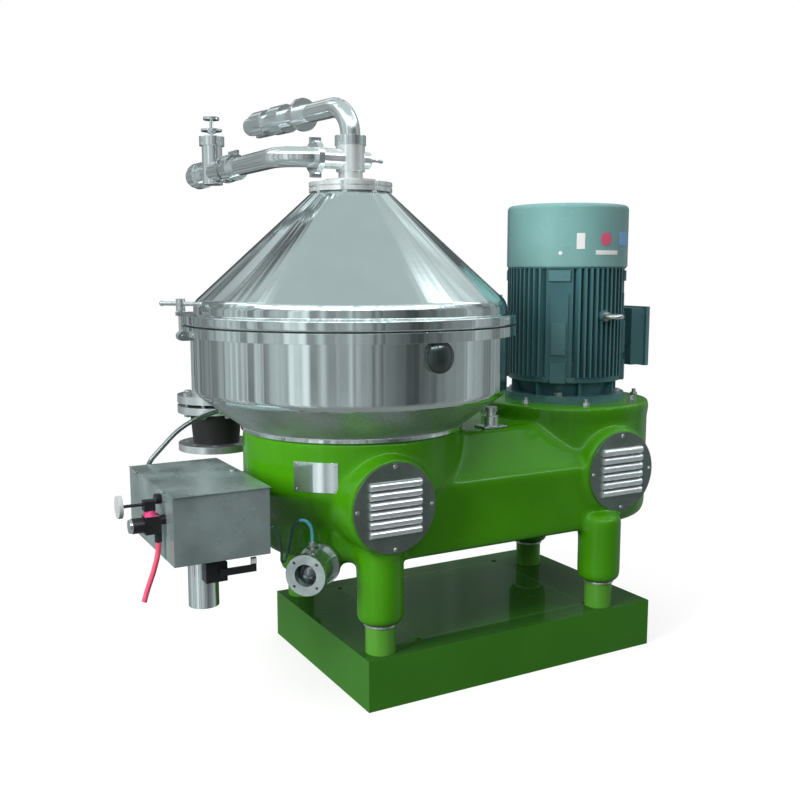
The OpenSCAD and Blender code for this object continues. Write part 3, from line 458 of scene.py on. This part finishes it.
# Routes in millimetres, the same as in the CAD
BLUE_ROUTE = [(-683, -250, 484), (-670, -249, 481), (-656, -241, 463), (-645, -228, 434),
              (-637, -212, 405), (-630, -194, 383), (-620, -180, 373), (-610, -175, 382),
              (-605, -177, 402), (-603, -184, 425), (-602, -192, 448), (-597, -200, 467),
              (-586, -207, 477), (-574, -212, 475), (-563, -215, 462), (-559, -214, 444),
              (-558.5, -213.5, 424)]
RED_ROUTE = [(-921, -196, 470), (-921, -196, 462), (-922, -196, 452), (-924, -196, 440),
             (-927, -196, 427), (-931, -196, 414), (-935, -196, 401), (-940, -196, 388),
             (-945, -196, 375), (-950, -196, 361), (-954, -196, 349), (-957, -196, 338)]
RED_R = 6 * MM
BLUE_R = 3 * MM
SLEEVE_R = 4.2 * MM
# Points of the blue line, from its far end, that the sleeve covers
SLEEVE_POINTS = 34


def metres(route):
    """Route as vectors in metres."""
    return [Vector(p) * MM for p in route]


def make_cords():
    """Red air hose, and blue signal tube with a pale sleeve over its far end."""
    red_line = smooth_line(metres(RED_ROUTE))
    red = add_piece("air_hose", tube("air_hose", red_line, RED_R), "red", "frame", ["red_hose"])
    blue_line = smooth_line(metres(BLUE_ROUTE))
    blue = add_piece("signal_tube", tube("signal_tube", blue_line, BLUE_R), "blue", "frame",
                     ["blue_tube"])
    sleeve_line = blue_line[-SLEEVE_POINTS:]
    sleeve = add_piece("tube_sleeve", tube("tube_sleeve", sleeve_line, SLEEVE_R), "sleeve", "frame")


# ---- cast frame ----

# Grid that the casting is rebuilt on, and the smoothing that rounds its inner corners
VOXEL = 6 * MM
SMOOTHING = 0.5
SMOOTHING_STEPS = 24


def cast_frame():
    """Frame and legs as one casting, with fillets where its forms meet."""
    source = bmesh.new()
    for name in ("drive_frame", "legs"):
        source.from_mesh(NODES[name].data)
    mesh = bpy.data.meshes.new("casting_source")
    source.to_mesh(mesh)
    source.free()
    rough = bpy.data.objects.new("casting_source", mesh)
    bpy.context.scene.collection.objects.link(rough)
    remesh = rough.modifiers.new("remesh", "REMESH")
    remesh.mode = "VOXEL"
    remesh.voxel_size = VOXEL
    relax = rough.modifiers.new("relax", "SMOOTH")
    relax.factor = SMOOTHING
    relax.iterations = SMOOTHING_STEPS
    graph = bpy.context.evaluated_depsgraph_get()
    cast = bpy.data.meshes.new_from_object(rough.evaluated_get(graph))
    bpy.data.objects.remove(rough)
    cast.name = "cast_frame"
    cast.materials.clear()
    add_piece("cast_frame", cast, "green", "frame", ["drive_frame", "legs"], sharp=180)


# ---- casing and hood ----

def hood_shell():
    """Spun hood: rim band, narrower band, shoulder and cone, open at the foot and at the neck."""
    foot, top = (corner.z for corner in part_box("hood"))
    wall = 8 * MM
    rim_r, rim_top = 429.9 * MM, 956 * MM
    band_r, band_top = 404 * MM, 976 * MM
    cone_r, cone_foot = 398 * MM, 990 * MM
    neck_r, mouth_r = 100 * MM, 56 * MM
    outside = [(rim_r, foot), (rim_r, rim_top), (band_r, rim_top), (band_r, band_top),
               (cone_r, cone_foot), (neck_r + 4 * MM, top - 3 * MM), (neck_r, top), (mouth_r, top)]
    inside = [(mouth_r, top - wall), (neck_r - 2 * MM, top - 11 * MM),
              (cone_r - wall, cone_foot - 5 * MM), (band_r - wall, band_top - MM), (cone_r, foot)]
    mesh = lathe("hood_shell", round_corners(outside + inside, 5 * MM), (BOWL.x, BOWL.y, 0))
    add_piece("hood_shell", mesh, "casing", "frame", ["hood"])


def weld_bead(name, radius, height, size):
    """Ripple weld round the bowl's axis."""
    count = 220
    ripples = 70
    line = []
    for i in range(count + 1):
        angle = TURN * i / count
        r = radius + 0.15 * size * math.sin(angle * ripples)
        line.append(Vector((BOWL.x + r * math.cos(angle), BOWL.y + r * math.sin(angle), height)))
    add_piece(name, tube(name, line, size, 8), "satin", "frame", sharp=180)


def weld_beads():
    """Welds at the casing's foot and round the pipe hub."""
    weld_bead("weld_seat", 291 * MM, 669 * MM, 1.6 * MM)
    weld_bead("weld_neck", 66.5 * MM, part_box("top_collar")[1].z + 1.5 * MM, 1.2 * MM)


# ---- labels and rivets ----

# Blank labels on the fan cowl: azimuths in degrees, heights in millimetres, finish, oval or not
COWL_LABELS = {
    "label_upright": (-120.3, -112.6, 1123, 1167, "white", False),
    "label_dot": (-136.4, -133.0, 1107, 1118, "white", True),
    "label_disc": (-97, -85, 1133, 1170, "rose", True),
    "label_bar": (-102, -76, 1108, 1120, "white", False),
    "label_blue": (-74, -53, 1134, 1172, "sky", False),
}
# A label's back and front, out from the cowl
LABEL_LAYERS = (0.3 * MM, 0.8 * MM)
RIVET_AZIMUTHS = (216, 235.6)
RIVET_HEIGHTS = (546, 607)


def cowl_label(name, az0, az1, z0, z1, key, oval):
    """Blank label that follows the fan cowl."""
    steps = 16
    points = []
    for layer in LABEL_LAYERS:
        for i in range(steps + 1):
            for j in range(steps + 1):
                u, v = 2 * i / steps - 1, 2 * j / steps - 1
                if oval:
                    u, v = u * math.sqrt(1 - v * v / 2), v * math.sqrt(1 - u * u / 2)
                az = math.radians((az0 + az1) / 2 + u * (az1 - az0) / 2)
                z = (z0 + z1) / 2 + v * (z1 - z0) / 2
                r = COWL_R + layer
                points.append((MOTOR.x + r * math.cos(az), MOTOR.y + r * math.sin(az), z * MM))
    row = steps + 1
    sheet = row * row
    faces = []
    for i in range(steps):
        for j in range(steps):
            a = i * row + j
            faces.append((a, a + row, a + row + 1, a + 1))
            faces.append((a + sheet, a + 1 + sheet, a + row + 1 + sheet, a + row + sheet))
    rim = list(range(steps)) + [i * row + steps for i in range(steps)]
    rim += [steps * row + j for j in range(steps, 0, -1)] + [i * row for i in range(steps, 0, -1)]
    for a, b in zip(rim, rim[1:] + rim[:1]):
        faces.append((a, b, b + sheet, a + sheet))
    add_piece(name, mesh_from(name, points, faces), key, "frame")


def lever_label():
    """Blank white label, a thin flat slab in front of the lever's upturned end."""
    low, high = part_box("valve_lever")
    half = Vector((13 * MM, 0, 12 * MM)) / 2
    centre = Vector((high.x - 6 * MM, 0, high.z - 8 * MM))
    front, back = low.y - 0.5 * MM, low.y - 0.02 * MM
    corners = [(centre.x + sx * half.x, y, centre.z + sz * half.z)
               for y in (front, back) for sx, sz in ((-1, -1), (1, -1), (1, 1), (-1, 1))]
    sides = [(k, (k + 1) % 4, (k + 1) % 4 + 4, k + 4) for k in range(4)]
    mesh = mesh_from("lever_label", corners, [(0, 3, 2, 1), (4, 5, 6, 7), *sides])
    add_piece("lever_label", mesh, "white", "lever")


def plate_rivets():
    """Round-headed rivets at the rating plate's corners."""
    plate_r = DRUM_R + 1.2 * MM
    tip_r, head_r, head_h = 0.05 * MM, 3 * MM, 2 * MM
    head = [(tip_r, 0), (head_r, 0), (2.6 * MM, 1 * MM), (1.4 * MM, 1.7 * MM), (tip_r, head_h)]
    corners = [(azimuth, height) for height in RIVET_HEIGHTS for azimuth in RIVET_AZIMUTHS]
    for i, (azimuth, height) in enumerate(corners):
        name = f"plate_rivet_{i + 1}"
        angle = math.radians(azimuth)
        out = Vector((math.cos(angle), math.sin(angle), 0))
        foot = Vector((BOWL.x, BOWL.y, height * MM)) + out * plate_r
        add_piece(name, lathe(name, head, foot, 20, out), "bolt", "frame")


# ---- stage ----

FLOOR_R = 1.9
# Distance from the middle at which the floor begins to fade out
FLOOR_FADE = 0.7


def floor_material():
    """White floor that takes a soft shadow near the object and fades out away from it."""
    material = bpy.data.materials.new("pale_floor")
    material.use_nodes = True
    tree = material.node_tree
    tree.nodes.remove(tree.nodes["Principled BSDF"])
    diffuse = add_node(tree, "BsdfDiffuse", {"Color": (0.34, 0.34, 0.34, 1)})
    glow = add_node(tree, "Emission", {"Strength": 0.68})
    white = add_node(tree, "AddShader", {0: diffuse.outputs["BSDF"], 1: glow.outputs["Emission"]})
    clear = add_node(tree, "BsdfTransparent")
    reach = add_node(tree, "VectorMath", {0: position(tree)}, operation="LENGTH")
    share = map_range(tree, reach.outputs["Value"], (FLOOR_FADE, FLOOR_R),
                      interpolation_type="SMOOTHSTEP")
    mixed = add_node(tree, "MixShader", {"Fac": share, 1: white.outputs["Shader"], 2: clear.outputs["BSDF"]})
    tree.links.new(mixed.outputs["Shader"], tree.nodes["Material Output"].inputs["Surface"])
    return material


def make_floor():
    """Round floor just under the plinth, which only the camera sees."""
    count = 64
    rim = [(FLOOR_R * math.cos(TURN * k / count), FLOOR_R * math.sin(TURN * k / count), 0)
           for k in range(count)]
    mesh = mesh_from("floor", rim, [tuple(range(count))])
    mesh.materials.append(floor_material())
    floor = bpy.data.objects.new("floor", mesh)
    floor.location.z = -0.5 * MM
    floor.visible_glossy = False
    floor.visible_diffuse = False
    bpy.context.scene.collection.objects.link(floor)


# Brightness of the room's walls, of the lamps above them and of the bare tubes in the lamps,
# by azimuth in degrees
WALLS = {-180: 0.44, -165: 0.52, -153: 0.78, -140: 0.46, -108: 0.40, -92: 0.22, -77: 0.09, -60: 0.13,
         -40: 0.28, -18: 0.42, 0: 0.24, 19: 0.36, 42: 0.10, 60: 0.26, 74: 0.05,
         90: 0.30, 127: 0.24, 150: 0.50, 180: 0.44}
LAMPS = {-180: 0.9, -150: 1.3, -90: 1.25, -50: 0.9, -24: 0.62, -8: 1.3, 2: 2.4, 9: 0.9, 15: 0.5,
         26: 0.8, 48: 0.62, 66: 0.30, 98: 0.7, 109: 0.10, 120: 0.95, 134: 1.0, 150: 0.8, 180: 0.9}
TUBES = {-180: 7, -120: 9, -80: 10, -55: 15, -30: 4, -10: 0.5, 30: 0.3, 60: 1.0, 120: 0.4, 150: 2.5, 180: 7}
# Heights, as the upward part of a direction, over which the room goes from one band to the next
WALL_FOOT = (-0.75, -0.30)
LAMP_FOOT = (0.38, 0.56)
LAMP_TOP = (0.80, 0.88)
TUBE_FOOT = (0.54, 0.57)
TUBE_TOP = (0.66, 0.69)
GLOW_SPAN = (-0.1, 0.8)
ROOM_FLOOR = (0.24, 0.27, 0.265)
CEILING = (0.465, 0.55, 0.545)
DIM_GLOW = (0.07, 0.07, 0.07)
BRIGHT_GLOW = (0.55, 0.55, 0.55)
WHITE = (1.0, 1.0, 1.0)
BLACK = (0, 0, 0)


def round_room(tree, azimuth, stops, streaks, streak_span=NOISE_SPAN, gain=(0.45, 1.5)):
    """Brightness round the room from stops by azimuth, broken up into upright streaks."""
    ramp = add_node(tree, "ValToRGB", {"Fac": map_range(tree, azimuth, (-math.pi, math.pi))})
    ramp.color_ramp.interpolation = "EASE"
    elements = ramp.color_ramp.elements
    for degrees in stops:
        if abs(degrees) < 180:
            elements.new((degrees + 180) / 360)
    for stop, degrees in zip(elements, sorted(stops)):
        bright = stops[degrees]
        stop.color = (0.88 * bright, bright, 1.01 * bright, 1)
    panels = add_node(tree, "TexNoise", {"W": azimuth, "Scale": streaks, "Detail": 3}, noise_dimensions="1D")
    strength = map_range(tree, panels.outputs["Fac"], streak_span, gain)
    scaled = add_node(tree, "VectorMath", {0: ramp.outputs["Color"], "Scale": strength}, operation="SCALE")
    return scaled.outputs["Vector"]


def make_world():
    """White room for the eye. Reflections see dim walls, lamps above them and a grey ceiling."""
    world = bpy.data.worlds.new("studio")
    bpy.context.scene.world = world
    world.use_nodes = True
    tree = world.node_tree
    where = add_node(tree, "TexCoord").outputs["Generated"]
    split = add_node(tree, "SeparateXYZ", {"Vector": where}).outputs
    azimuth = add_node(tree, "Math", {0: split["Y"], 1: split["X"]}, operation="ARCTAN2").outputs["Value"]
    up = split["Z"]
    walls = round_room(tree, azimuth, WALLS, 9)
    lamps = round_room(tree, azimuth, LAMPS, 6)
    tubes = round_room(tree, azimuth, TUBES, 13, (0.50, 0.56), (0, 1))
    room = blend_by(tree, up, WALL_FOOT, ROOM_FLOOR, walls)
    room = blend_by(tree, up, LAMP_FOOT, room, lamps)
    room = blend_by(tree, up, LAMP_TOP, room, CEILING)
    tubes = blend_by(tree, up, TUBE_FOOT, BLACK, tubes)
    tubes = blend_by(tree, up, TUBE_TOP, tubes, BLACK)
    room = add_node(tree, "VectorMath", {0: room, 1: tubes}, operation="ADD").outputs["Vector"]
    glow = blend_by(tree, up, GLOW_SPAN, DIM_GLOW, BRIGHT_GLOW)
    path = add_node(tree, "LightPath").outputs
    lit = blend_by(tree, path["Is Glossy Ray"], (0, 1), glow, room)
    seen = blend_by(tree, path["Is Camera Ray"], (0, 1), lit, WHITE)
    tree.links.new(seen, tree.nodes["Background"].inputs["Color"])


# Area lights: place and size in metres, power in watts
LIGHTS = {
    "key": ((-3.9, -1.1, 2.0), (1.6, 2.4), 190),
    "front": ((-1.4, -3.6, 2.8), (2.2, 1.6), 34),
    "side": ((3.4, -2.2, 1.9), (1.6, 1.6), 26),
    "top": ((0, 0, 4.0), (3.0, 3.0), 60),
    "rear": ((0.9, 3.4, 2.2), (2.2, 1.6), 30),
}
LIGHT_TARGET = Vector((-0.1, 0, 0.7))


def make_lights():
    """Soft lights aimed at the object and left out of its reflections."""
    for name, (place, size, power) in LIGHTS.items():
        data = bpy.data.lights.new(name, "AREA")
        data.shape = "RECTANGLE"
        data.size, data.size_y = size
        data.energy = power
        light = bpy.data.objects.new(name, data)
        light.location = place
        light.rotation_euler = (LIGHT_TARGET - Vector(place)).to_track_quat("-Z", "Y").to_euler()
        light.visible_glossy = False
        bpy.context.scene.collection.objects.link(light)


# ---- making the model ----

make_camera()
make_cords()
dress_nodes()
two_tone_nodes()
cast_frame()
hood_shell()
weld_beads()
for label, shape in COWL_LABELS.items():
    cowl_label(label, *shape)
lever_label()
plate_rivets()
make_floor()
make_world()
make_lights()
bpy.context.scene.view_settings.view_transform = "Standard"
